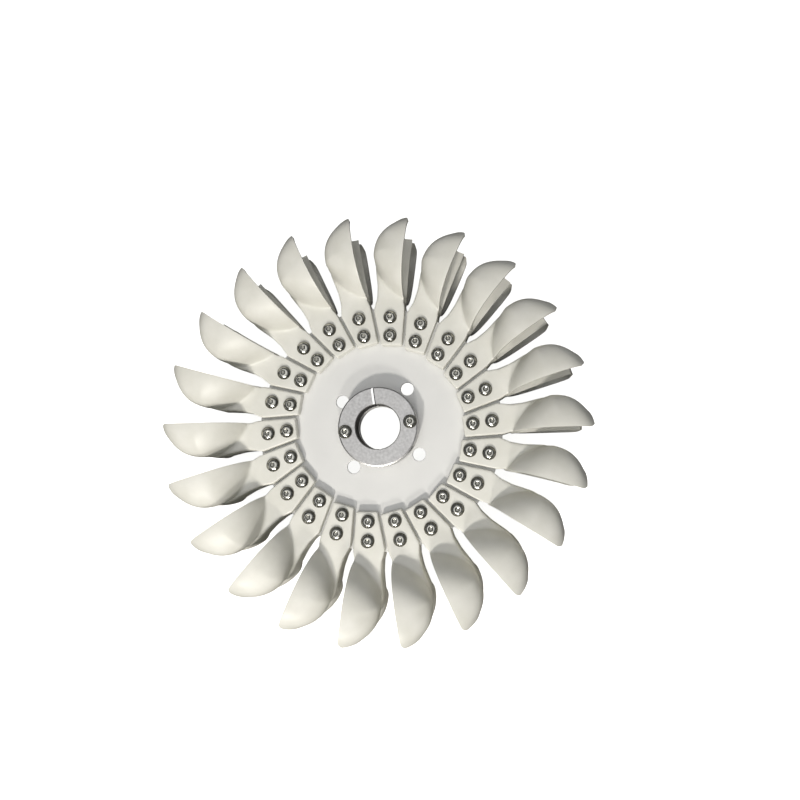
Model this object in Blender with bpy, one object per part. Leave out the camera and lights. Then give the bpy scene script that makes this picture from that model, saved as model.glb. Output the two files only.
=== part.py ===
# Impulse turbine runner: a plate with 22 double-cup buckets, clamped on its shaft by a split collar.
# The wheel lies flat. +Z is its axis, towards the collar side. The origin is the wheel's centre,
# midway between the two rows of half cups. All sizes are in metres.
import bpy
import bmesh
import numpy as np
from math import cos, sin, radians, tau
from mathutils import Matrix, Vector

# Driving dimensions
BUCKET_COUNT = 22
FIT_GAP = 0.0003            # left between pieces that touch

PLATE_RADIUS = 0.081
PLATE_THICKNESS = 0.006
PLATE_HOLE_CIRCLE = 0.0313  # radius of the ring of four fixing holes
PLATE_HOLE_RADIUS = 0.0043
PLATE_HOLE_START = 55.9     # degrees from +X, then every 90 degrees

SHAFT_BORE_RADIUS = 0.0145
COLLAR_RADIUS = 0.0258
COLLAR_HEIGHT = 0.0115
COLLAR_SLIT = 0.0018
COLLAR_SLIT_ANGLE = 99.0    # degrees from +X
COLLAR_SCREW_CIRCLE = 0.0213
SCREW_HEAD_RADIUS = 0.0042
SCREW_HEAD_HEIGHT = 0.0030
SCREW_SHANK_RADIUS = 0.0021
SCREW_DEPTH = 0.008         # how far the shank reaches into the collar

# One bucket. Its own axes: "out" runs outwards along the line of its two screws,
# "side" is square to that, towards the mouth of the cups, and "z" is along the wheel's axis.
SCREW_LINE_OFFSET = 0.0064  # the line of the screws passes this far beside the wheel's centre
LUG_THICKNESS = 0.0055
LUG_INNER_END = 0.0547
LUG_GAP = 0.0019            # between the lugs of neighbouring buckets
LUG_EDGE_OUT, LUG_EDGE_SIDE = 0.066, 0.0086   # a point on the lug's mouth-side edge
LUG_EDGE_SLOPE = radians(3.7)
HALF_WIDTH = 0.0322         # half the bucket's width along the axis
WALL = 0.0022
SPLITTER_EDGE = 0.0008      # thickness of the ridge between the two half cups
SPLITTER_RISE = 0.0010      # how far its root end stands proud of the mouth
SPLITTER_SPREAD = 0.003
WIDEST_OUT = 0.116          # where the bucket is widest
TIP_REACH, TIP_ROUNDNESS = 0.0215, 3.5      # from there to the tip; 2 is an ellipse, more is squarer
ROOT_REACH, ROOT_ROUNDNESS = 0.0305, 2.3    # and from there to the root
NOTCH_OUT = 0.1300          # the splitter ends here, at the point of the notch between the tips
NOTCH_SLOPE = 0.36
DEEPEST_OUT, DEEPEST_Z = 0.113, 0.0155      # the deepest point of a half cup
CUP_DEPTH = 0.0214          # outside, below the mouth
FULLNESS = 2.8, 0.68        # the cup's profile: depth * (1 - share^first)^second
ROOT_FULLNESS = 1.5, 0.80   # the same towards the root, where the cup is shallower
MOUTH_SIDE_ROOT, MOUTH_SIDE_TIP = 0.0088, 0.0144   # the mouth's place at the root and at the tip
MOUTH_SWEEP = 1.3           # 1 is a straight mouth, more curves it forward to the tip
CORNER_SHARPNESS = 16
STEPS_ROUND, STEPS_DOWN = 14, 3
FIRST_STEP = radians(83)

CIRCLE_STEPS = 66
SCREW_STEPS = 12
LUG_FACE = PLATE_THICKNESS / 2 + FIT_GAP + LUG_THICKNESS
COLLAR_BACK = PLATE_THICKNESS / 2 + FIT_GAP
COLLAR_FACE = COLLAR_BACK + COLLAR_HEIGHT
PITCH = tau / BUCKET_COUNT


def paint(obj, name, colour, roughness, metallic=0.0):
    """Give the object a material of its own."""
    material = bpy.data.materials.new(name)
    material.use_nodes = True
    shader = material.node_tree.nodes["Principled BSDF"]
    shader.inputs["Base Color"].default_value = (*colour, 1.0)
    shader.inputs["Roughness"].default_value = roughness
    shader.inputs["Metallic"].default_value = metallic
    obj.data.materials.clear()
    obj.data.materials.append(material)


def add_object(name, mesh):
    obj = bpy.data.objects.new(name, mesh)
    bpy.context.scene.collection.objects.link(obj)
    return obj


def mesh_from(name, points, faces):
    """A closed mesh whose faces point outwards."""
    mesh = bpy.data.meshes.new(name)
    mesh.from_pydata([tuple(p) for p in points], [], faces)
    work = bmesh.new()
    work.from_mesh(mesh)
    bmesh.ops.recalc_face_normals(work, faces=work.faces)
    work.to_mesh(mesh)
    work.free()
    return mesh


def cylinder(name, radius, low, high, steps=CIRCLE_STEPS, centre=(0.0, 0.0)):
    """An upright cylinder between two heights."""
    mesh = bpy.data.meshes.new(name)
    work = bmesh.new()
    bmesh.ops.create_cone(work, cap_ends=True, segments=steps, radius1=radius, radius2=radius,
                          depth=high - low)
    bmesh.ops.translate(work, verts=work.verts, vec=(*centre, (low + high) / 2))
    work.to_mesh(mesh)
    work.free()
    return add_object(name, mesh)


def prism(name, outline, low, high):
    """A flat outline of (x, y) points carried from one height to another."""
    count = len(outline)
    points = [(x, y, low) for x, y in outline] + [(x, y, high) for x, y in outline]
    sides = [(i, (i + 1) % count, (i + 1) % count + count, i + count) for i in range(count)]
    ends = [tuple(range(count)), tuple(range(count, 2 * count))]
    return add_object(name, mesh_from(name, points, sides + ends))


def combine(obj, other, operation):
    """Join the other object to this one, or cut it out, and remove it."""
    boolean = obj.modifiers.new(operation.lower(), "BOOLEAN")
    boolean.operation = operation
    boolean.object = other
    boolean.solver = "EXACT"
    result = bpy.data.meshes.new_from_object(obj.evaluated_get(bpy.context.evaluated_depsgraph_get()))
    obj.modifiers.clear()
    obj.data = result
    bpy.data.objects.remove(other)


def mouth_side(out, z):
    """How far the mouth stands to the side: swept forward to the tip, and proud at the splitter."""
    root, tip = WIDEST_OUT - ROOT_REACH, WIDEST_OUT + TIP_REACH
    share = np.clip((out - root) / (tip - root), 0.0, 1.0)
    sweep = MOUTH_SIDE_ROOT + (MOUTH_SIDE_TIP - MOUTH_SIDE_ROOT) * share ** MOUTH_SWEEP
    return sweep + SPLITTER_RISE * (1 - share) * np.exp(-(z / SPLITTER_SPREAD) ** 2)


def rim_reach(turn, inset):
    """Distance from the cup's middle to its rim, at angles turned from +z towards the tip.

    It's the nearer of two edges, rounded where they meet: the splitter and the bucket's
    outline, |z / half width|^n + |(out - widest) / reach|^n = 1.
    """
    along, across = np.sin(turn), np.cos(turn)
    near, far = np.zeros_like(turn), np.full_like(turn, 2 * HALF_WIDTH)
    for _ in range(30):
        reach = (near + far) / 2
        z = DEEPEST_Z + reach * across
        out = DEEPEST_OUT + reach * along - WIDEST_OUT
        length = np.where(out > 0, TIP_REACH, ROOT_REACH) - inset
        power = np.where(out > 0, TIP_ROUNDNESS, ROOT_ROUNDNESS)
        outside = np.abs(z / (HALF_WIDTH - inset)) ** power + np.abs(out / length) ** power > 1
        near, far = np.where(outside, near, reach), np.where(outside, reach, far)
    splitter_z = inset - WALL + SPLITTER_EDGE / 2
    to_splitter = np.maximum(-across, 0.0) / (DEEPEST_Z - splitter_z)
    return (near ** -CORNER_SHARPNESS + to_splitter ** CORNER_SHARPNESS) ** (-1 / CORNER_SHARPNESS)


def cup_rings(inset):
    """Rings of (side, out, z) points down one half cup, from its mouth to its deepest point.

    The depth under the mouth is depth * (1 - share^a)^b, where share runs from 0 in the
    middle to 1 at the rim, and a and b change towards the root.
    """
    turn = FIRST_STEP + np.arange(STEPS_ROUND) * tau / STEPS_ROUND
    reach = rim_reach(turn, inset)
    depth = CUP_DEPTH - inset
    rootward = np.clip(-np.sin(turn), 0.0, 1.0)
    power, root = (full + (near_root - full) * rootward
                   for full, near_root in zip(FULLNESS, ROOT_FULLNESS))
    rings = []
    for share in np.cos(np.linspace(0.0, 1.0, STEPS_DOWN + 1)[:-1] * tau / 4) ** 0.8:
        out = DEEPEST_OUT + reach * np.sin(turn) * share
        z = DEEPEST_Z + reach * np.cos(turn) * share
        side = mouth_side(out, z) - depth * np.maximum(1 - share ** power, 0.0) ** root
        rings.append(np.stack([side, out, z], axis=1))
    return rings


def half_cup(name, inset, rise, mirror):
    """One half cup as a solid, closed across its mouth or at a height above it."""
    rings = cup_rings(inset)
    if rise > 0.0:
        rings.insert(0, rings[0] + np.array([rise, 0.0, 0.0]))
    mouth = mouth_side(np.array(DEEPEST_OUT), DEEPEST_Z)
    centres = np.array([[mouth + rise, DEEPEST_OUT, DEEPEST_Z],
                        [mouth - CUP_DEPTH + inset, DEEPEST_OUT, DEEPEST_Z]])
    points = np.concatenate(rings + [centres])
    points[:, 2] *= mirror
    count, top, bottom = STEPS_ROUND, len(points) - 2, len(points) - 1
    last = (len(rings) - 1) * count
    faces = []
    for i in range(count):
        j = (i + 1) % count
        faces += [(r * count + i, r * count + j, (r + 1) * count + j, (r + 1) * count + i)
                  for r in range(len(rings) - 1)]
        faces += [(i, j, top), (last + i, last + j, bottom)]
    return add_object(name, mesh_from(name, points, faces))


def lug_outline():
    """The lugs and the neck seen along the axis, as (side, out) points."""
    def mouth_edge(out):
        return LUG_EDGE_SIDE + (out - LUG_EDGE_OUT) * np.tan(LUG_EDGE_SLOPE)

    def neighbour_edge(out):
        # The next bucket's mouth-side edge is this one's, turned one pitch about the wheel's centre.
        turned = Matrix.Rotation(-PITCH, 2)
        start = turned @ Vector((LUG_EDGE_OUT, LUG_EDGE_SIDE + SCREW_LINE_OFFSET))
        slope = LUG_EDGE_SLOPE - PITCH
        return start.y + (out - start.x) * np.tan(slope) - SCREW_LINE_OFFSET + LUG_GAP / cos(slope)

    return [
        (neighbour_edge(LUG_INNER_END), LUG_INNER_END),
        (mouth_edge(LUG_INNER_END), LUG_INNER_END),
        (mouth_edge(0.080), 0.080),
        (0.0082, 0.0865),
        (0.0060, 0.096),
        (0.0, 0.112),
        (-0.0070, 0.1195),
        (-0.0098, 0.1150),
        (-0.0104, 0.1080),
        (-0.0093, 0.0980),
        (-0.0094, 0.0880),
        (neighbour_edge(0.0785), 0.0785),
    ]


def bucket_mesh():
    """One moulded bucket: two half cups on a forked root that straddles the plate."""
    body = half_cup("bucket_form", 0.0, 0.0, 1)
    combine(body, half_cup("other_half", 0.0, 0.0, -1), "UNION")
    combine(body, prism("root", lug_outline(), -LUG_FACE, LUG_FACE), "UNION")
    for mirror in (1, -1):
        combine(body, half_cup("hollow", WALL, 0.02, mirror), "DIFFERENCE")
    # The notch is a wedge drawn in (z, out) and turned so that it runs along "side".
    beyond = 2 * HALF_WIDTH
    wedge_end = NOTCH_OUT + NOTCH_SLOPE * beyond
    wedge = [(0.0, NOTCH_OUT), (beyond, wedge_end), (-beyond, wedge_end)]
    notch = prism("notch", wedge, -beyond, beyond)
    notch.data.transform(Matrix.Rotation(tau / 4, 4, "Y"))
    combine(body, notch, "DIFFERENCE")
    slot_height = PLATE_THICKNESS / 2 + FIT_GAP
    slot = cylinder("plate_slot", PLATE_RADIUS + FIT_GAP, -slot_height, slot_height)
    slot.data.transform(Matrix.Translation((-SCREW_LINE_OFFSET, 0.0, 0.0)))
    combine(body, slot, "DIFFERENCE")
    mesh = body.data
    bpy.data.objects.remove(body)
    # (side, out, z) becomes (x, y, z) with the screw line beside the wheel's centre
    mesh.transform(Matrix.Translation((SCREW_LINE_OFFSET, 0.0, 0.0)))
    mesh.shade_smooth()
    mesh.set_sharp_from_angle(angle=radians(35))
    return mesh


def build_buckets():
    mesh = bucket_mesh()
    for number in range(BUCKET_COUNT):
        bucket = add_object(f"bucket_{number + 1:02d}", mesh.copy())
        bucket.rotation_euler.z = -number * PITCH
        paint(bucket, f"cup moulding {number + 1:02d}", (0.78, 0.76, 0.70), 0.5)


def build_plate():
    half = PLATE_THICKNESS / 2
    plate = cylinder("rotor_plate", PLATE_RADIUS, -half, half)
    combine(plate, cylinder("bore", SHAFT_BORE_RADIUS, -2 * half, 2 * half, 40), "DIFFERENCE")
    for quarter in range(4):
        angle = radians(PLATE_HOLE_START + 90 * quarter)
        centre = (PLATE_HOLE_CIRCLE * cos(angle), PLATE_HOLE_CIRCLE * sin(angle))
        hole = cylinder("fixing_hole", PLATE_HOLE_RADIUS, -2 * half, 2 * half, 16, centre)
        combine(plate, hole, "DIFFERENCE")
    paint(plate, "white plate", (0.74, 0.74, 0.73), 0.45)


def screw_places():
    """The two collar screws stand square to the slit."""
    angle = radians(COLLAR_SLIT_ANGLE - 90)
    place = Vector((COLLAR_SCREW_CIRCLE * cos(angle), COLLAR_SCREW_CIRCLE * sin(angle)))
    return [("collar_screw_right", place), ("collar_screw_left", -place)]


def build_collar():
    below, above = COLLAR_BACK - 0.01, COLLAR_FACE + 0.01
    collar = cylinder("split_collar", COLLAR_RADIUS, COLLAR_BACK, COLLAR_FACE, 56)
    combine(collar, cylinder("bore", SHAFT_BORE_RADIUS, below, above, 40), "DIFFERENCE")
    half = COLLAR_SLIT / 2
    slit = prism("slit", [(0.005, -half), (0.03, -half), (0.03, half), (0.005, half)], below, above)
    slit.data.transform(Matrix.Rotation(radians(COLLAR_SLIT_ANGLE), 4, "Z"))
    combine(collar, slit, "DIFFERENCE")
    for name, place in screw_places():
        hole = cylinder("tapped_hole", SCREW_SHANK_RADIUS + FIT_GAP, COLLAR_FACE - SCREW_DEPTH - FIT_GAP,
                        COLLAR_FACE + 0.01, SCREW_STEPS, place)
        combine(collar, hole, "DIFFERENCE")
    paint(collar, "turned aluminium", (0.50, 0.50, 0.50), 0.35, 1.0)


def build_screws():
    for name, place in screw_places():
        under = COLLAR_FACE + FIT_GAP
        screw = cylinder(name, SCREW_HEAD_RADIUS, under, under + SCREW_HEAD_HEIGHT, 2 * SCREW_STEPS, place)
        shank = cylinder("shank", SCREW_SHANK_RADIUS, COLLAR_FACE - SCREW_DEPTH,
                         under + SCREW_HEAD_HEIGHT / 2, SCREW_STEPS, place)
        combine(screw, shank, "UNION")
        paint(screw, f"stainless steel {name[13:]}", (0.55, 0.55, 0.56), 0.3, 1.0)


def main():
    for obj in list(bpy.data.objects):
        bpy.data.objects.remove(obj)
    build_buckets()
    build_plate()
    build_collar()
    build_screws()


main()
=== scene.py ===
# Impulse turbine runner lying on a pale floor, seen from above and slightly to the right.
# +Z is the wheel's axis, towards the collar. All sizes are in metres.
from math import cos, radians, sin, tan, tau

import bmesh
import bpy
import numpy as np
from mathutils import Matrix, Vector


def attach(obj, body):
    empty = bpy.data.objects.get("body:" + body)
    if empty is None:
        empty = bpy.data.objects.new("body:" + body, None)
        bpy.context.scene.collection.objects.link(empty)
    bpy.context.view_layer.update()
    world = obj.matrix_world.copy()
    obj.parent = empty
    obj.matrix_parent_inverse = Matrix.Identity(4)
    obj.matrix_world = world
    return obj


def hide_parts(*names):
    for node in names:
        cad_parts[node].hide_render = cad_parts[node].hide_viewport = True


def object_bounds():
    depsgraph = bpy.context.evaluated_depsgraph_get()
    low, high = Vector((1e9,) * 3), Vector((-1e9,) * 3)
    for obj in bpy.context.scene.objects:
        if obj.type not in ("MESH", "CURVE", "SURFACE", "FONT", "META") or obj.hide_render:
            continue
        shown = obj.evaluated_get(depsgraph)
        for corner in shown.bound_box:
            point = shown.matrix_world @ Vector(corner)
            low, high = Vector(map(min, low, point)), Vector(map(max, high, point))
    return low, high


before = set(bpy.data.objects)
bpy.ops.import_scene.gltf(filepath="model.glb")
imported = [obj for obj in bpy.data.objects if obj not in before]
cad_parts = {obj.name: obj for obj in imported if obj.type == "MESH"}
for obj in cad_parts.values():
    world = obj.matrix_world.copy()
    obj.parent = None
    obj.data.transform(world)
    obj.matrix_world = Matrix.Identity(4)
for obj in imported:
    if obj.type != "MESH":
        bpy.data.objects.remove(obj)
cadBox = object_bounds()
print("frame loaded:", len(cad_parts), "nodes")

wheel = {
    "buckets": 22,
    "screwLine": 0.0064,      # a bucket's screws stand on a line this far beside the centre
    "screwsOut": (0.061, 0.0735),
    "lugFace": 0.0088,        # height of the lugs' faces above the mid-plane
    "plateHalf": 0.003,
    "gap": 0.0003,            # fitting gap round the plate
    "roundSteps": 240,        # flat faces that make up a large circle
    "cutOver": 0.002,         # how far a cutter stands out of what it cuts
}
pitch = tau / wheel["buckets"]
mm = 0.001


def linkMesh(name, mesh):
    piece = bpy.data.objects.new(name, mesh)
    bpy.context.scene.collection.objects.link(piece)
    return piece


def meshPiece(name, points, faces):
    # points is an (n, 3) array; the faces are turned to point outwards
    mesh = bpy.data.meshes.new(name)
    mesh.from_pydata(points.tolist(), [], faces)
    work = bmesh.new()
    work.from_mesh(mesh)
    bmesh.ops.recalc_face_normals(work, faces=work.faces)
    work.to_mesh(mesh)
    work.free()
    return linkMesh(name, mesh)


def closedRings(name, rings, firstCentre=None, lastCentre=None):
    # rings is a (rows, steps, 3) array. Neighbouring rows are joined by quads, and each end
    # is closed by a fan to its centre. Without centres the last row joins the first one.
    rows, steps = rings.shape[:2]
    row, step = np.meshgrid(np.arange(rows if firstCentre is None else rows - 1), np.arange(steps),
                            indexing="ij")
    below, beside = (row + 1) % rows, (step + 1) % steps
    corners = [row * steps + step, row * steps + beside, below * steps + beside, below * steps + step]
    faces = np.stack(corners, axis=-1).reshape(-1, 4).tolist()
    points = rings.reshape(-1, 3)
    if firstCentre is not None:
        count = rows * steps
        points = np.vstack([points, firstCentre, lastCentre])
        around, beyond = np.arange(steps), (np.arange(steps) + 1) % steps
        first = np.stack([around, beyond, np.full(steps, count)], axis=-1)
        last = np.stack([around, beyond, np.full(steps, count + 1)], axis=-1)
        last[:, :2] += (rows - 1) * steps
        faces += first.tolist() + last.tolist()
    return meshPiece(name, points, faces)


def prism(name, outline, low, high):
    # a flat outline of (x, y) points carried from one height to another
    outline = np.asarray(outline)
    rings = np.stack([np.column_stack([outline, np.full(len(outline), z)]) for z in (low, high)])
    middle = outline.mean(axis=0)
    return closedRings(name, rings, (*middle, low), (*middle, high))


def turnedRing(name, profile, steps, centre=(0.0, 0.0), closed=True):
    # a profile of (radius, z) points carried round an upright axis
    profile = np.asarray(profile)
    turn = np.arange(steps) * tau / steps
    x = centre[0] + profile[:, :1] * np.cos(turn)
    y = centre[1] + profile[:, :1] * np.sin(turn)
    rings = np.stack([x, y, np.broadcast_to(profile[:, 1:], x.shape)], axis=-1)
    if closed:
        return closedRings(name, rings)
    return closedRings(name, rings, (*centre, profile[0, 1]), (*centre, profile[-1, 1]))


def applyModifiers(piece):
    depsgraph = bpy.context.evaluated_depsgraph_get()
    mesh = bpy.data.meshes.new_from_object(piece.evaluated_get(depsgraph))
    piece.modifiers.clear()
    piece.data = mesh


def cutAway(piece, cutter):
    boolean = piece.modifiers.new("cut", "BOOLEAN")
    boolean.operation = "DIFFERENCE"
    boolean.solver = "EXACT"
    boolean.object = cutter
    applyModifiers(piece)
    bpy.data.objects.remove(cutter)


def smoothShading(piece, degrees):
    piece.data.shade_smooth()
    piece.data.set_sharp_from_angle(angle=radians(degrees))


def triangles(piece):
    piece.data.calc_loop_triangles()
    return len(piece.data.loop_triangles)


# A bucket's own axes: "out" along the line of its screws, "side" towards the mouths, z along
# the wheel's axis.
cup = {
    "halfWidth": 0.0322,
    "wall": 0.0022,
    "splitterEdge": 0.0008,
    "splitterRise": 0.0010,
    "splitterSpread": 0.003,
    "widestOut": 0.116,
    "tip": (0.0223, 3.5),            # reach from the widest place, and roundness: 2 is an ellipse
    "root": (0.0305, 2.3),
    "notch": [(0.0, 0.1300), (0.0100, 0.1336), (0.0145, 0.1345), (0.0190, 0.1350), (0.0215, 0.1355),
              (0.0235, 0.1358), (0.0250, 0.1357)],   # (z, out) along its flank, from splitter to tip
    "deepest": (0.113, 0.0155),      # out and z of the deepest point
    "depth": 0.0214,
    "fullness": (2.8, 0.68),         # the powers a and b of the wall's fall
    "rootFullness": (1.5, 0.80),     # the same, towards the root
    "mouthSide": (0.0088, 0.0144),   # the mouth's place at the root and at the tip
    "mouthSweep": 1.3,
    "neckSlope": 0.12,               # how the mouth's line goes on below the root, along the neck
    "tipFall": (0.1320, 0.0040, 0.0021),   # where the mouth starts to fall back, how far, how deep
    "pastTip": (1.2, 1.5),           # how far the sweep and the fall go on past the tip, as shares
    "corner": 16,                    # how sharply the rim turns into the splitter
    "steps": (96, 20),               # round the rim, and down the wall
    "stepShare": 0.8,                # below 1 the steps down the wall crowd towards the deepest point
    "raised": 0.006,                 # spare height over the mouth, which is cut off again
    "hollowRaised": 0.020,
    "mouthGrid": (111, 81),
}
lug = {
    "innerEnd": 0.0547,
    "edge": (0.066, 0.0086),         # a point on the mouth-side edge
    "slope": radians(3.7),
    "gap": 0.0019,                   # to the next bucket's lugs
    "edgeEnd": 0.080,
    "neck": [(0.0084, 0.0865), (0.0060, 0.096), (0.0, 0.112), (-0.0070, 0.1195), (-0.0098, 0.1150),
             (-0.0105, 0.1080), (-0.0097, 0.1010), (-0.0090, 0.0950), (-0.0093, 0.0860)],
    "bulgeEdgeEnd": 0.0785,
}
finish = {
    "voxel": 0.0006,
    "smoothing": 6,
    "filletSmoothing": 40,
    "filletHeight": 0.0028,          # above the lug's face, over which the smoothing fades
    "filletSide": (0.0065, 0.002),   # it fades out on the mouth's side of here, over this length
    "filletOut": (0.0845, 0.003),    # and towards the lugs of here
    "bodyFaces": 15000,
    "sharp": 32,                     # degrees between two faces from which their edge is drawn sharp
}


def mouthSide(out, z):
    # The mouth is swept forward to the tip: side = low + (high - low) * share^sweep. It stands
    # proud along the splitter by rise * exp(-(z / spread)^2), less and less from root to tip,
    # and falls back at the tips by fall * (distance / length)^2, which rounds them.
    root = cup["widestOut"] - cup["root"][0]
    tip = cup["widestOut"] + cup["tip"][0]
    sweepEnd, fallEnd = cup["pastTip"]
    share = np.clip((out - root) / (tip - root), 0.0, sweepEnd)
    low, high = cup["mouthSide"]
    side = low + (high - low) * share ** cup["mouthSweep"]
    side = side + cup["neckSlope"] * np.maximum(root - out, 0.0)
    fallStart, fallLength, fall = cup["tipFall"]
    side = side - fall * np.clip((out - fallStart) / fallLength, 0.0, fallEnd) ** 2
    ridge = np.exp(-(z / cup["splitterSpread"]) ** 2)
    return side + cup["splitterRise"] * np.clip(1 - share, 0.0, 1.0) * ridge


def rimReach(turn, inset):
    # Distance from the deepest point to the rim, by halving the interval: the nearer of the
    # outline |z / half width|^n + |(out - widest) / reach|^n = 1 and the line of the splitter.
    deepOut, deepZ = cup["deepest"]
    along, across = np.sin(turn), np.cos(turn)
    near, far = np.zeros_like(turn), np.full_like(turn, 2 * cup["halfWidth"])
    halvings = 40
    for _ in range(halvings):
        reach = (near + far) / 2
        z = deepZ + reach * across
        out = deepOut + reach * along - cup["widestOut"]
        length = np.where(out > 0, cup["tip"][0], cup["root"][0]) - inset
        power = np.where(out > 0, cup["tip"][1], cup["root"][1])
        outside = np.abs(z / (cup["halfWidth"] - inset)) ** power + np.abs(out / length) ** power > 1
        near, far = np.where(outside, near, reach), np.where(outside, reach, far)
    splitterZ = inset - cup["wall"] + cup["splitterEdge"] / 2
    toSplitter = np.maximum(-across, 0.0) / (deepZ - splitterZ)
    return (near ** -cup["corner"] + toSplitter ** cup["corner"]) ** (-1 / cup["corner"])


def halfCup(name, inset, rise, mirror):
    # The wall goes down from the rim as depth * (1 - share^a)^b, where share is 1 at the rim
    # and 0 at the deepest point, and a and b change towards the root.
    deepOut, deepZ = cup["deepest"]
    stepsRound, stepsDown = cup["steps"]
    turn = (np.arange(stepsRound) + 0.5) * tau / stepsRound
    reach = rimReach(turn, inset)
    rootward = np.clip(-np.sin(turn), 0.0, 1.0)
    power, root = (full + (nearRoot - full) * rootward
                   for full, nearRoot in zip(cup["fullness"], cup["rootFullness"]))
    share = np.cos(np.linspace(0.0, 1.0, stepsDown + 1)[:-1, None] * tau / 4) ** cup["stepShare"]
    out = deepOut + reach * np.sin(turn) * share
    z = deepZ + reach * np.cos(turn) * share
    fall = (cup["depth"] - inset) * np.maximum(1 - share ** power, 0.0) ** root
    rings = np.stack([mouthSide(out, z) - fall, out, z], axis=-1)
    raised = rings[:1] + np.array([rise, 0.0, 0.0])
    rings = np.concatenate([raised, rings])
    rings[..., 2] *= mirror
    mouth = float(mouthSide(np.array(deepOut), deepZ))
    return closedRings(name, rings, (mouth + rise, deepOut, deepZ * mirror),
                       (mouth - cup["depth"] + inset, deepOut, deepZ * mirror))


def lugOutline():
    # The lugs and the neck seen along the axis, as (side, out) points. Both straight edges run
    # as side = start + (out - start) * tan(slope).
    def mouthEdge(out):
        return lug["edge"][1] + (out - lug["edge"][0]) * tan(lug["slope"])

    def bulgeEdge(out):
        # the next bucket's mouth-side edge, turned by one pitch, less the gap
        edge = Vector((lug["edge"][0], lug["edge"][1] + wheel["screwLine"]))
        start = Matrix.Rotation(-pitch, 2) @ edge
        slope = lug["slope"] - pitch
        side = start.y + (out - start.x) * tan(slope) - wheel["screwLine"]
        return side + lug["gap"] / cos(slope)

    inner, mouthEnd, bulgeEnd = lug["innerEnd"], lug["edgeEnd"], lug["bulgeEdgeEnd"]
    return [(bulgeEdge(inner), inner), (mouthEdge(inner), inner), (mouthEdge(mouthEnd), mouthEnd),
            *lug["neck"], (bulgeEdge(bulgeEnd), bulgeEnd)]


def aboveMouth():
    # everything above the mouth, as a block whose underside is the mouth's own surface
    outEnd, halfSpan, topSide = 0.145, 0.040, 0.040
    out = np.linspace(lug["edgeEnd"], outEnd, cup["mouthGrid"][0])
    z = np.linspace(-halfSpan, halfSpan, cup["mouthGrid"][1])
    outGrid, zGrid = np.meshgrid(out, z, indexing="ij")
    under = np.stack([mouthSide(outGrid, zGrid), outGrid, zGrid], axis=-1)
    top = under.copy()
    top[..., 0] = topSide
    rows, columns = outGrid.shape
    row, column = np.meshgrid(np.arange(rows - 1), np.arange(columns - 1), indexing="ij")
    start = row * columns + column
    sheet = np.stack([start, start + 1, start + columns + 1, start + columns], axis=-1).reshape(-1, 4)
    border = np.concatenate([np.arange(columns), np.arange(1, rows) * columns + columns - 1,
                             (rows - 1) * columns + np.arange(columns - 2, -1, -1),
                             np.arange(rows - 2, 0, -1) * columns])
    following = np.roll(border, -1)
    count = rows * columns
    sides = np.stack([border, following, following + count, border + count], axis=-1)
    faces = np.concatenate([sheet, sheet + count, sides]).tolist()
    points = np.concatenate([under.reshape(-1, 3), top.reshape(-1, 3)])
    return meshPiece("above_mouth", points, faces)


def notchWedge():
    # a wedge drawn in (z, out), whose flanks turn level at the tips and so round them
    beyond, far = 0.05, 0.150
    right = np.array([*cup["notch"], (beyond, far)])
    left = right[::-1][:-1] * np.array([-1.0, 1.0])
    wedge = prism("notch", np.concatenate([right, left]), -beyond, beyond)
    wedge.data.transform(Matrix.Rotation(tau / 4, 4, "Y"))
    return wedge


def bucketForm():
    # both half cups and the neck, melted into one skin, smoothed and thinned out
    form = halfCup("bucket_form", 0.0, cup["raised"], 1)
    for other in (halfCup("other_half", 0.0, cup["raised"], -1),
                  prism("neck", lugOutline(), -wheel["lugFace"], wheel["lugFace"])):
        work = bmesh.new()
        work.from_mesh(form.data)
        work.from_mesh(other.data)
        work.to_mesh(form.data)
        work.free()
        bpy.data.objects.remove(other)
    remesh = form.modifiers.new("voxels", "REMESH")
    remesh.mode = "VOXEL"
    remesh.voxel_size = finish["voxel"]
    smooth = form.modifiers.new("smooth", "SMOOTH")
    smooth.iterations = finish["smoothing"]
    applyModifiers(form)
    softenCrease(form)
    decimate = form.modifiers.new("decimate", "DECIMATE")
    decimate.ratio = finish["bodyFaces"] / triangles(form)
    applyModifiers(form)
    return form


def softenCrease(form):
    # The fillet where the domes grow out of the lugs: more smoothing close to the lug's face,
    # with a weight of exp(-(height / fade)^2) kept in ten steps.
    points = np.empty(len(form.data.vertices) * 3)
    form.data.vertices.foreach_get("co", points)
    side, out, z = points.reshape(-1, 3).T
    height = np.abs(z) - wheel["lugFace"]
    (sideEnd, sideFade), (outStart, outFade) = finish["filletSide"], finish["filletOut"]
    weight = np.exp(-(height / finish["filletHeight"]) ** 2)
    weight = weight * np.clip((sideEnd - side) / sideFade, 0, 1)
    weight = weight * np.clip((out - outStart) / outFade, 0, 1)
    group = form.vertex_groups.new(name="crease")
    levels = 10
    for level in range(1, levels + 1):
        chosen = np.nonzero(np.round(weight * levels) == level)[0]
        group.add(chosen.tolist(), level / levels, "REPLACE")
    smooth = form.modifiers.new("fillet", "SMOOTH")
    smooth.iterations = finish["filletSmoothing"]
    smooth.vertex_group = "crease"
    applyModifiers(form)
    form.vertex_groups.clear()


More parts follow.
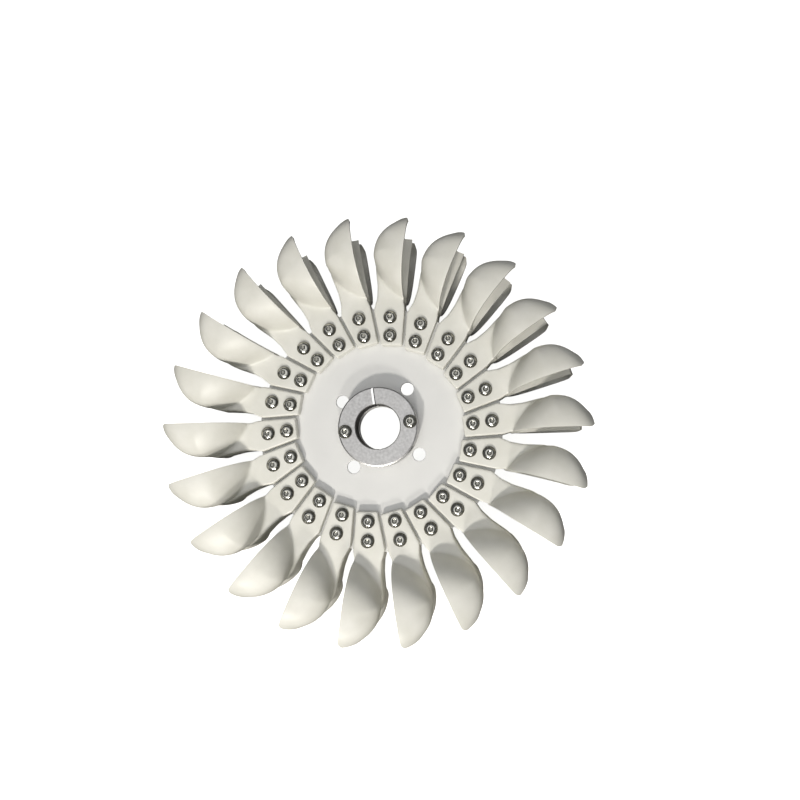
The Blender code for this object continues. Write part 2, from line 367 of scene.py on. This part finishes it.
def bucketMesh():
    form = bucketForm()
    print("bucket form:", triangles(form), "triangles")
    cutAway(form, aboveMouth())
    for mirror in (1, -1):
        cutAway(form, halfCup("hollow", cup["wall"], cup["hollowRaised"], mirror))
    cutAway(form, notchWedge())
    slotHalf = wheel["plateHalf"] + wheel["gap"]
    slotRadius, slotSteps = plate["radius"] + wheel["gap"], 256
    profile = [(slotRadius, -slotHalf), (slotRadius, slotHalf)]
    slot = turnedRing("slot", profile, slotSteps, closed=False)
    slot.data.transform(Matrix.Translation((-wheel["screwLine"], 0.0, 0.0)))
    cutAway(form, slot)
    form.data.transform(Matrix.Translation((wheel["screwLine"], 0.0, 0.0)))
    smoothShading(form, finish["sharp"])
    mesh = form.data
    print("bucket:", triangles(form), "triangles")
    bpy.data.objects.remove(form)
    return mesh


def makeBuckets():
    mesh = bucketMesh()
    made = []
    for number in range(wheel["buckets"]):
        copy = mesh.copy()
        copy.transform(Matrix.Rotation(-number * pitch, 4, "Z"))
        bucket = linkMesh(f"moulded_bucket_{number + 1:02d}", copy)
        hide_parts(f"bucket_{number + 1:02d}")
        made.append(bucket)
    return made


plate = {
    "radius": 0.081,
    "bore": 0.0145,
    "holeCircle": 0.0313,
    "holeRadius": 0.0043,
    "holeStart": 55.9,      # degrees, then every 90
    "countersink": (0.0016, 0.0045),   # at the back of the holes: width and depth
    "chamfer": 0.0003,
    "sharp": 25,            # degrees, as in finish
}


def holeCutter(low, high, centre):
    # a cylinder that widens to a countersink at the back and to a chamfer at the front
    over, steps = wheel["cutOver"], 48
    radius, chamfer = plate["holeRadius"], plate["chamfer"]
    width, depth = plate["countersink"]
    profile = [(radius + width * (1 + over / depth), low - over), (radius, low + depth),
               (radius, high - chamfer), (radius + chamfer + over, high + over)]
    return turnedRing("hole", profile, steps, centre, closed=False)


def makePlate():
    half, edge = wheel["plateHalf"], plate["chamfer"]
    outer, inner = plate["radius"], plate["bore"]
    profile = [(inner, -half + edge), (inner + edge, -half), (outer - edge, -half),
               (outer, -half + edge), (outer, half - edge), (outer - edge, half),
               (inner + edge, half), (inner, half - edge)]
    piece = turnedRing("coated_plate", profile, wheel["roundSteps"])
    for quarter in range(4):
        angle = radians(plate["holeStart"] + 90 * quarter)
        centre = (plate["holeCircle"] * cos(angle), plate["holeCircle"] * sin(angle))
        cutAway(piece, holeCutter(-half, half, centre))
    smoothShading(piece, plate["sharp"])
    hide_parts("rotor_plate")
    return piece


collar = {
    "back": 0.0033,
    "face": 0.0148,
    "radius": 0.0258,
    "bore": 0.0145,
    "chamfer": 0.0005,
    "frontBevel": (0.0008, 0.00035),   # round the face: width and depth
    "slit": 0.0019,
    "slitFacet": (0.0013, 0.0003),   # the facet along one edge of the slit, which carries a painted highlight: width and depth
    "slitAngle": 99.0,
    "screwCircle": 0.0213,
    "slitReach": (0.008, 0.030),     # from inside the bore to outside the collar
    "nick": (0.0009, 0.002, 277.0),  # in the bore's edge: radius, depth and angle
    "facetUp": (0.95, 0.995),        # how far up the slit's facet faces: between these, and 1 is level
    "sharp": 10,
}


def makeCollar():
    low, high, edge = collar["back"], collar["face"], collar["chamfer"]
    outer, inner = collar["radius"], collar["bore"]
    width, depth = collar["frontBevel"]
    profile = [(inner, low + edge), (inner + edge, low), (outer - edge, low), (outer, low + edge),
               (outer, high - depth), (outer - width, high), (inner + edge, high),
               (inner, high - edge)]
    piece = turnedRing("turned_collar", profile, wheel["roundSteps"])
    half = collar["slit"] / 2
    # the slit's section is drawn in (across, z), and turned so that it runs outwards
    width, depth = collar["slitFacet"]
    over = wheel["cutOver"] / 2
    section = [(-half, high + over), (-half, low - over), (half - width, low - over),
               (half - width, high - depth), (half + over * width / depth, high + over)]
    slit = prism("slit", section, *collar["slitReach"])
    outwards = Matrix(((0, 0, 1, 0), (1, 0, 0, 0), (0, 1, 0, 0), (0, 0, 0, 1)))
    slit.data.transform(outwards)
    slit.data.transform(Matrix.Rotation(radians(collar["slitAngle"]), 4, "Z"))
    cutAway(piece, slit)
    nickRadius, nickDepth, nickAngle = collar["nick"]
    nickSteps = 16
    angle = radians(nickAngle)
    centre = (inner * cos(angle), inner * sin(angle))
    profile = [(nickRadius, high - nickDepth), (nickRadius, high + wheel["cutOver"])]
    cutAway(piece, turnedRing("nick", profile, nickSteps, centre, closed=False))
    smoothShading(piece, collar["sharp"])
    # the facet is the only face that is nearly, but not quite, level
    least, most = collar["facetUp"]
    normals = np.empty(len(piece.data.polygons) * 3)
    piece.data.polygons.foreach_get("normal", normals)
    upward = normals.reshape(-1, 3)[:, 2]
    # the facet's faces are marked for a painted highlight in the aluminium material
    paintedHighlightFacet = piece.data.attributes.new("paintedHighlightFacet", "FLOAT", "FACE")
    paintedHighlightFacet.data.foreach_set("value", ((upward > least) & (upward < most)).astype(np.float32))
    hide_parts("split_collar")
    return piece


screw = {
    "radius": 0.00445,
    "height": 0.0027,
    "edge": 0.0005,             # the upright edge under the dome
    "topRadius": 0.00215,
    "socket": 0.0030,           # across the flats
    "socketDepth": 0.0016,
    "socketRim": 0.00012,       # the small bevel at its mouth
    "socketCone": (0.5, 0.0004),   # its bottom: width as a share of the socket's, and depth
    "domeRings": 12,
    "paintedShade": (0.78, 0.14),      # painted shade: the steel darkens outside this share of the radius, over this share
    "socketShade": (0.5, 0.0008, 0.6),   # painted shade in the socket: within this share, below this depth, this dark
    "steps": 48,
    "sharp": 30,
}


def hexReach(acrossFlats, turn):
    # distance from the middle of a hexagon to its edge: half the width over cos(a), where a is
    # the angle from the middle of the nearest flat
    return acrossFlats / 2 / np.cos((turn + tau / 12) % (tau / 6) - tau / 12)


def headRings(size):
    # A button head: from the seat up a short edge, over the dome r = R cos(a), z = H sin(a) to
    # the rim of the hexagon socket, and down the socket to its conical bottom.
    turn = np.arange(size["steps"]) * tau / size["steps"]
    level = np.ones_like(turn)
    lastAngle = np.arccos(size["topRadius"] / size["radius"])
    dome = (size["height"] - size["edge"]) / np.sin(lastAngle)
    angles = np.linspace(0.0, lastAngle, size["domeRings"])
    hexagon = hexReach(size["socket"], turn)
    top, bottom = size["height"], size["height"] - size["socketDepth"]
    rim, (coneShare, coneDepth) = size["socketRim"], size["socketCone"]
    radius = [size["radius"] * level, *(size["radius"] * np.cos(a) * level for a in angles),
              hexagon + rim, hexagon, hexagon, hexagon * coneShare]
    rise = [0.0, *(size["edge"] + dome * np.sin(angles)), top, top - rim, bottom,
            bottom - coneDepth]
    radius, rise = np.stack(radius), np.array(rise)[:, None] * level
    return np.stack([radius * np.cos(turn), radius * np.sin(turn), rise], axis=-1)


nut = {
    "acrossFlats": 0.0080,
    "height": 0.0040,
    "faceShare": 1.02,          # its round face, as a share of half the width across the flats
    "seatShare": 1.08,          # its round seat, as a share of that face
    "cornerDrop": (0.55, 0.0001),   # the corners fall by this share of their reach past the flats
    "threadRadius": 0.0025,
    "threadEnd": 0.0012,        # how far the screw's end stands out of the nut
    "bevel": 0.0004,            # round the thread, and at the screw's end
    "steps": 48,
}


def nutRings(size):
    # A hexagon whose corners are cut back by a share of their reach past the flats. It narrows
    # to the end of the screw's thread, and is drawn upwards from its seat.
    turn = np.arange(size["steps"]) * tau / size["steps"]
    level = np.ones_like(turn)
    hexagon = hexReach(size["acrossFlats"], turn)
    face = size["acrossFlats"] / 2 * size["faceShare"]
    dropShare, leastDrop = size["cornerDrop"]
    drop = (hexagon - size["acrossFlats"] / 2) * dropShare + leastDrop
    high, end = size["height"], size["height"] + size["threadEnd"]
    thread, bevel = size["threadRadius"], size["bevel"]
    rows = [(np.minimum(hexagon, face * size["seatShare"]), 0.0), (hexagon, drop),
            (hexagon, high - drop), (face, high), (thread + bevel, high),
            (thread, high - bevel), (thread, end - bevel), (thread - bevel, end)]
    radius = np.stack([reach * level for reach, _ in rows])
    rise = np.stack([height * level for _, height in rows])
    return np.stack([radius * np.cos(turn), radius * np.sin(turn), rise], axis=-1)


def placedRings(rings, centre, height, spin, down):
    # turned about the screw's own axis, upside down if asked, and moved to its place
    x, y, z = np.moveaxis(rings, -1, 0)
    turnedX = x * cos(spin) - y * sin(spin)
    turnedY = x * sin(spin) + y * cos(spin)
    return np.stack([centre[0] + turnedX, centre[1] + turnedY, height + (-z if down else z)], axis=-1)


def paintedShadeOf(rings, seat, centre):
    # painted shade, from 0 to 1: 1 on the steep outer part of a head or nut and down its socket, 0 on
    # its top
    radius = np.hypot(rings[..., 0] - centre[0], rings[..., 1] - centre[1]) / screw["radius"]
    depth = screw["height"] - np.abs(rings[..., 2] - seat)
    start, fade = screw["paintedShade"]
    outer = np.clip((radius - start) / fade, 0.0, 1.0)
    share, below, dark = screw["socketShade"]
    inSocket = (radius < share) & (depth > below)
    return np.maximum(outer, inSocket * dark)


def fastenerPiece(name, parts):
    # several closed ring stacks in one mesh, each with its painted shade in a point attribute
    middles = [1.0, screw["socketShade"][2]]
    work = bmesh.new()
    for rings, seat, centre in parts:
        single = closedRings(name, rings, rings[0].mean(axis=0), rings[-1].mean(axis=0))
        paintedShade = single.data.attributes.new("paintedShade", "FLOAT", "POINT")
        darkness = paintedShadeOf(rings, seat, centre).ravel()
        paintedShade.data.foreach_set("value", np.concatenate([darkness, middles]))
        work.from_mesh(single.data)
        bpy.data.objects.remove(single)
    mesh = bpy.data.meshes.new(name)
    work.to_mesh(mesh)
    work.free()
    piece = linkMesh(name, mesh)
    smoothShading(piece, screw["sharp"])
    return piece


def makeBucketScrews(draw):
    head, back = headRings(screw), nutRings(nut)
    made = []
    for number in range(wheel["buckets"]):
        turn = Matrix.Rotation(-number * pitch, 2)
        parts = []
        for out in wheel["screwsOut"]:
            centre = turn @ Vector((wheel["screwLine"], out))
            for shape, seat in ((head, wheel["lugFace"]), (back, -wheel["lugFace"])):
                rings = placedRings(shape, centre, seat, draw.uniform(0, tau), seat < 0)
                parts.append((rings, seat, centre))
        made.append(fastenerPiece(f"lug_screws_{number + 1:02d}", parts))
    return made


def makeCollarScrews(draw):
    angle = radians(collar["slitAngle"] - 90)
    place = Vector((collar["screwCircle"] * cos(angle), collar["screwCircle"] * sin(angle)))
    head, back = headRings(screw), nutRings(nut)
    made = []
    for word, centre in (("right", place), ("left", -place)):
        parts = []
        for shape, seat in ((head, collar["face"] + wheel["gap"]), (back, -wheel["plateHalf"])):
            rings = placedRings(shape, centre, seat, draw.uniform(0, tau), seat < 0)
            parts.append((rings, seat, centre))
        piece = fastenerPiece(f"socket_screw_{word}", parts)
        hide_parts(f"collar_screw_{word}")
        made.append(piece)
    return made


def linear(hexColour):
    # an sRGB hex colour as linear red, green, blue and alpha
    parts = [int(hexColour[i:i + 2], 16) / 255 for i in (0, 2, 4)]
    return (*[p / 12.92 if p <= 0.04045 else ((p + 0.055) / 1.055) ** 2.4 for p in parts], 1.0)


def newMaterial(name, **shaderValues):
    material = bpy.data.materials.new(name)
    material.use_nodes = True
    tree = material.node_tree
    shader = tree.nodes["Principled BSDF"]
    for socket, value in shaderValues.items():
        shader.inputs[socket.replace("_", " ")].default_value = value
    return material, tree, shader


def addNode(tree, kind, links=None, settings=None, **values):
    # links: {input: (node, output)}; settings are the node's own properties; values fill its sockets
    node = tree.nodes.new("ShaderNode" + kind)
    for key, value in (settings or {}).items():
        setattr(node, key, value)
    for key, value in values.items():
        node.inputs[key.replace("_", " ")].default_value = value
    for key, (source, output) in (links or {}).items():
        tree.links.new(source.outputs[output], node.inputs[key])
    return node


def colourRamp(tree, source, output, stops):
    ramp = addNode(tree, "ValToRGB", {"Fac": (source, output)})
    while len(ramp.color_ramp.elements) < len(stops):
        ramp.color_ramp.elements.new(0.5)
    for element, (place, colour) in zip(ramp.color_ramp.elements, stops):
        element.position = place
        element.color = linear(colour)
    return ramp


def mouldedNylon():
    # Glass-filled nylon, injection moulded: an even ivory with a faint cloudiness from the
    # filler, about a centimetre across, and a satin skin with a fine grain of about 1 mm.
    material, tree, shader = newMaterial("moulded glass-filled nylon", IOR=1.53)
    place = addNode(tree, "TexCoord")
    clouds = addNode(tree, "TexNoise", {"Vector": (place, "Object")}, Scale=1 / (14 * mm), Detail=3.0,
                     Roughness=0.55)
    colour = colourRamp(tree, clouds, "Fac", [(0.30, "DBDAD1"), (0.55, "E1E0D8"), (0.75, "E6E5DE")])
    tree.links.new(colour.outputs["Color"], shader.inputs["Base Color"])
    sheen = addNode(tree, "MapRange", {"Value": (clouds, "Fac")}, From_Min=0.3, From_Max=0.7,
                    To_Min=0.38, To_Max=0.50)
    tree.links.new(sheen.outputs["Result"], shader.inputs["Roughness"])
    grain = addNode(tree, "TexNoise", {"Vector": (place, "Object")}, Scale=1 / (0.9 * mm), Detail=4.0)
    bump = addNode(tree, "Bump", {"Height": (grain, "Fac")}, Strength=0.10, Distance=0.0002)
    tree.links.new(bump.outputs["Normal"], shader.inputs["Normal"])
    return material


def powderCoat():
    # Steel plate, powder coated white: a bright neutral white, very faintly clouded, with the
    # soft, fine ripple of baked powder, about 2 mm from crest to crest.
    material, tree, shader = newMaterial("powder-coated steel plate", Roughness=0.38, IOR=1.5)
    place = addNode(tree, "TexCoord")
    ripple = addNode(tree, "TexNoise", {"Vector": (place, "Object")}, Scale=1 / (2.2 * mm), Detail=2.0)
    clouds = addNode(tree, "TexNoise", {"Vector": (place, "Object")}, Scale=1 / (30 * mm), Detail=3.0)
    colour = colourRamp(tree, clouds, "Fac", [(0.3, "DDDDDB"), (0.7, "E3E3E1")])
    tree.links.new(colour.outputs["Color"], shader.inputs["Base Color"])
    bump = addNode(tree, "Bump", {"Height": (ripple, "Fac")}, Strength=0.12, Distance=0.0002)
    tree.links.new(bump.outputs["Normal"], shader.inputs["Normal"])
    return material


def turnedAluminium():
    # Aluminium, faced on a lathe: pale grey metal, finely speckled, with faint rings round the
    # axis. Real ones are about 0.1 mm apart; they are drawn 0.6 mm apart so that they show close
    # up. A facet along the slit carries a painted highlight: near-white colour and a low roughness.
    material, tree, shader = newMaterial("turned aluminium", Metallic=1.0)
    place = addNode(tree, "TexCoord")
    perRing = tau / 20            # a Wave texture's own length from ring to ring, at a scale of 1
    rings = addNode(tree, "TexWave", {"Vector": (place, "Object")},
                    {"wave_type": "RINGS", "rings_direction": "Z"}, Scale=perRing / (0.6 * mm),
                    Distortion=0.4, Detail=2.0)
    clouds = addNode(tree, "TexNoise", {"Vector": (place, "Object")}, Scale=1 / (1.6 * mm), Detail=5.0)
    grey = colourRamp(tree, clouds, "Fac", [(0.3, "ABAAA9"), (0.7, "C4C3C2")])
    # painted highlight: the slit's facet is mixed towards near-white
    paintedHighlightFacet = addNode(tree, "Attribute", settings={"attribute_name": "paintedHighlightFacet"})
    colour = addNode(tree, "MixRGB", {"Fac": (paintedHighlightFacet, "Fac"), "Color1": (grey, "Color")},
                     Color2=linear("F6F5F3"))
    tree.links.new(colour.outputs["Color"], shader.inputs["Base Color"])
    gloss = addNode(tree, "MapRange", {"Value": (paintedHighlightFacet, "Fac")}, To_Min=0.40, To_Max=0.12)
    tree.links.new(gloss.outputs["Result"], shader.inputs["Roughness"])
    bump = addNode(tree, "Bump", {"Height": (rings, "Fac")}, Strength=0.06, Distance=0.0001)
    tree.links.new(bump.outputs["Normal"], shader.inputs["Normal"])
    return material


def stainlessSteel():
    # Stainless steel, cold headed and tumbled, with an uneven gloss in patches of about 1 mm.
    # Painted shade darkens the steep flanks and the sockets, and the tops keep the bright steel
    # colour.
    material, tree, shader = newMaterial("tumbled stainless steel", Metallic=1.0)
    place = addNode(tree, "TexCoord")
    clouds = addNode(tree, "TexNoise", {"Vector": (place, "Object")}, Scale=1 / (1.2 * mm), Detail=5.0)
    bright = colourRamp(tree, clouds, "Fac", [(0.3, "A6A59E"), (0.7, "C6C5BE")])
    # painted shade: the steel is mixed towards dark grey on the flanks and in the sockets
    paintedShade = addNode(tree, "Attribute", settings={"attribute_name": "paintedShade"})
    colour = addNode(tree, "MixRGB", {"Fac": (paintedShade, "Fac"), "Color1": (bright, "Color")},
                     Color2=linear("63625A"))
    tree.links.new(colour.outputs["Color"], shader.inputs["Base Color"])
    rough = addNode(tree, "MapRange", {"Value": (clouds, "Fac")}, From_Min=0.3, From_Max=0.7,
                    To_Min=0.14, To_Max=0.28)
    tree.links.new(rough.outputs["Result"], shader.inputs["Roughness"])
    bump = addNode(tree, "Bump", {"Height": (clouds, "Fac")}, Strength=0.08, Distance=0.0001)
    tree.links.new(bump.outputs["Normal"], shader.inputs["Normal"])
    return material


def dress(pieces, material):
    for piece in pieces:
        piece.data.materials.clear()
        piece.data.materials.append(material)
        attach(piece, "root")


studio = {
    "floorHalf": 3.0,
    "floorGap": 0.0004,           # under the lowest point of the wheel
    "bounceDrop": 0.0005,         # from the floor that shows to the one that lights the wheel
    "floorColour": "F6F6F4",
    "floorGlow": 1.0,
    "underColour": "55534F",
    "worldColour": "F0F2F4",
    "worldStrength": 0.14,
    # each light: direction to it, distance, size, power and colour
    "lights": {
        "key": ((-0.17, -0.67, 0.72), 1.1, 0.10, 6.2, "FFFBF4"),
        "second": ((0.13, -0.81, 0.57), 1.1, 0.14, 3.1, "FFFBF4"),
        "softbox": ((0.0, 0.0, 1.0), 1.1, 1.4, 5.6, "FAFAFA"),
    },
    # the camera's place, where it looks and what is up
    "view": ((0.06588, -0.02772, 0.39806), (-0.0496, 0.0994, -0.9938), (0.003, 0.995, 0.0994)),
    "lens": 27.0,
    "shift": (-0.0625, 0.0125),
}


def makeFloor():
    # The floor that shows is bright enough to look white under the wheel as well. The light
    # that the wheel gets from below comes from a darker one just under it, which doesn't show.
    half = studio["floorHalf"]
    for name, colour, glow, drop in (
            ("floor", studio["floorColour"], studio["floorGlow"], 0.0),
            ("floor_bounce", studio["underColour"], 0.0, studio["bounceDrop"])):
        height = cadBox[0][2] - studio["floorGap"] - drop
        corners = np.array([(-half, -half, height), (half, -half, height), (half, half, height),
                            (-half, half, height)])
        floor = meshPiece(name, corners, [(0, 1, 2, 3)])
        material, _, shader = newMaterial(name.replace("_", " "), Roughness=0.9)
        shader.inputs["Base Color"].default_value = linear(colour)
        shader.inputs["Emission Color"].default_value = linear(colour)
        shader.inputs["Emission Strength"].default_value = glow
        floor.data.materials.append(material)
        shown = name == "floor"
        floor.visible_camera = shown
        floor.visible_diffuse = not shown
        floor.visible_glossy = not shown
        floor.visible_shadow = not shown


def makeLights():
    world = bpy.data.worlds.new("studio")
    world.use_nodes = True
    bpy.context.scene.world = world
    background = world.node_tree.nodes["Background"]
    background.inputs["Color"].default_value = linear(studio["worldColour"])
    background.inputs["Strength"].default_value = studio["worldStrength"]
    for name, (direction, distance, size, power, colour) in studio["lights"].items():
        light = bpy.data.lights.new(name, "AREA")
        light.shape = "DISK"
        light.size = size
        light.energy = power
        light.color = linear(colour)[:3]
        lamp = bpy.data.objects.new(name, light)
        bpy.context.scene.collection.objects.link(lamp)
        towards = Vector(direction).normalized()
        lamp.location = towards * distance
        lamp.rotation_euler = (-towards).to_track_quat("-Z", "Y").to_euler()
        lamp.visible_camera = False


def makeCamera():
    place, along, up = (Vector(v) for v in studio["view"])
    along.normalize()
    right = along.cross(up).normalized()
    up = right.cross(along)
    camera = bpy.data.cameras.new("camera")
    camera.sensor_width = 36.0
    camera.lens = studio["lens"]
    camera.shift_x, camera.shift_y = studio["shift"]
    camera.clip_start = 0.01
    holder = bpy.data.objects.new("camera", camera)
    bpy.context.scene.collection.objects.link(holder)
    holder.matrix_world = Matrix.Translation(place) @ Matrix((right, up, -along)).transposed().to_4x4()
    bpy.context.scene.camera = holder
    bpy.context.scene.view_settings.view_transform = "Standard"


makeCamera()
makeFloor()
makeLights()
print("stage ready")

draw = np.random.default_rng(22)
dress(makeBuckets(), mouldedNylon())
print("buckets made")
dress([makePlate()], powderCoat())
dress([makeCollar()], turnedAluminium())
print("plate and collar made")
dress(makeBucketScrews(draw) + makeCollarScrews(draw), stainlessSteel())
print("screws made")
